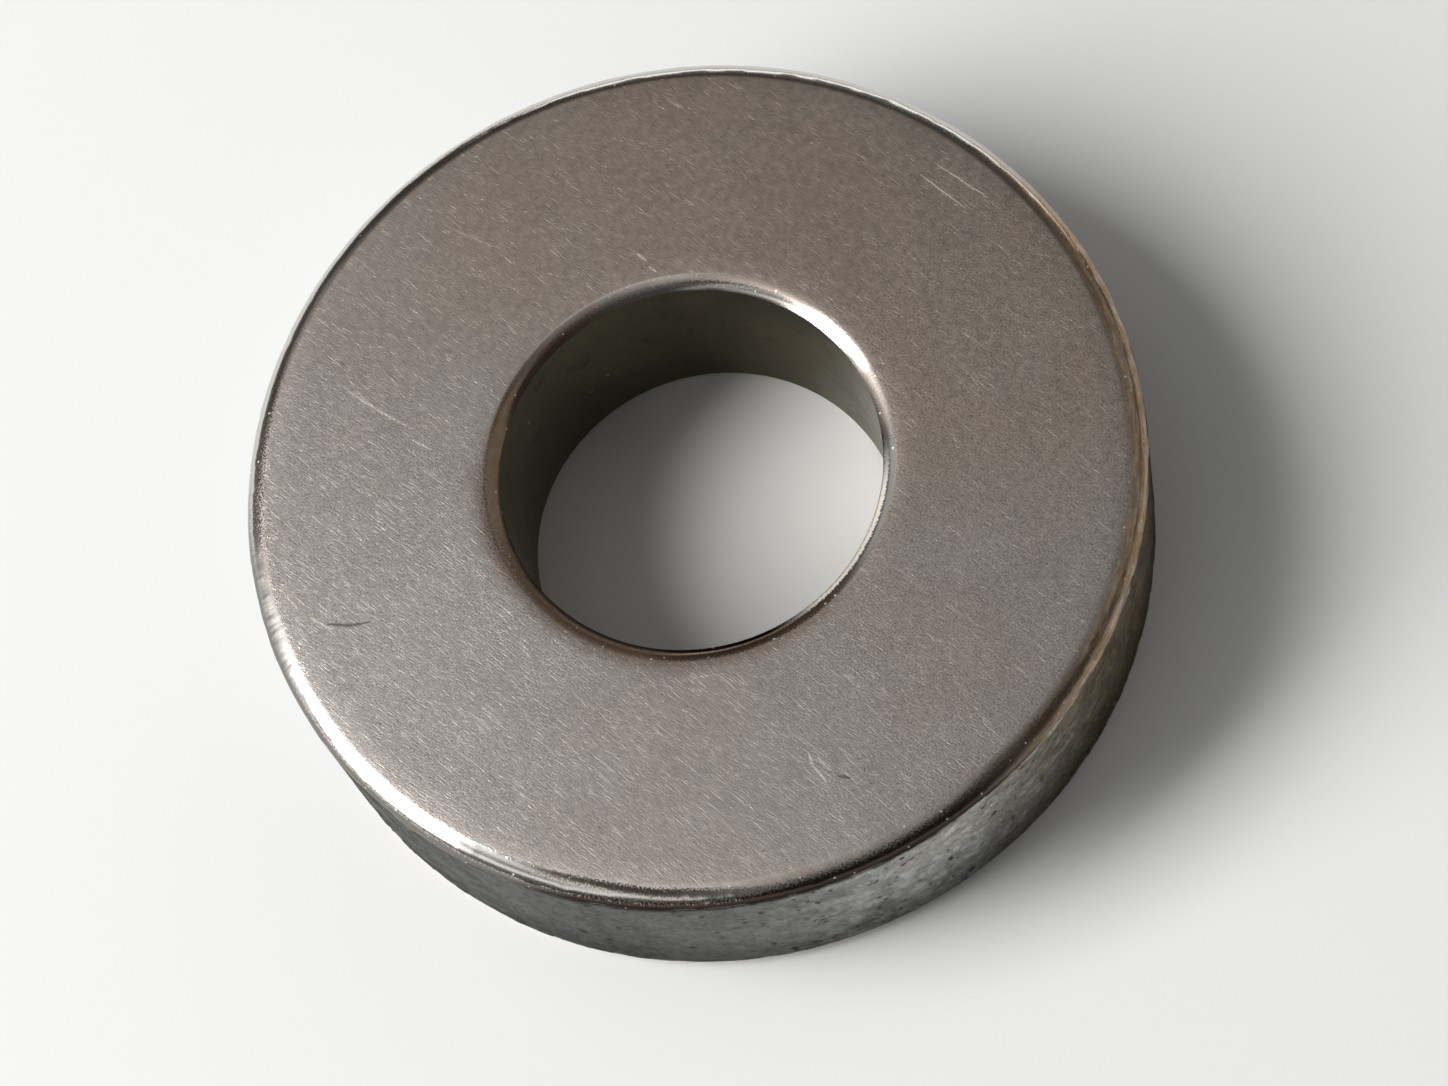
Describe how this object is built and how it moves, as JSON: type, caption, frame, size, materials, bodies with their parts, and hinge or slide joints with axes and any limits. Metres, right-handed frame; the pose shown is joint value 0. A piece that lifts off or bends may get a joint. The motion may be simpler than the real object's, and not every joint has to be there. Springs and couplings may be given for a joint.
{
  "type": "ring magnet",
  "caption": "Thick flat ring magnet with a plain straight bore and rounded edges, in satin nickel plating with polished edges and fine handling scratches.",
  "frame": {"origin": "middle of the bore, level with the lower face that the ring rests on", "axes": "+Z along the axis of the ring and of its bore, up from the lower face"},
  "size_m": [0.02, 0.02, 0.005],
  "materials": {
    "nickel_plate": "satin nickel plate, tumbled, with polished edges and fine scratches"
  },
  "bodies": {
    "root": {"ring_magnet": "nickel_plate"}
  },
  "joints": []
}
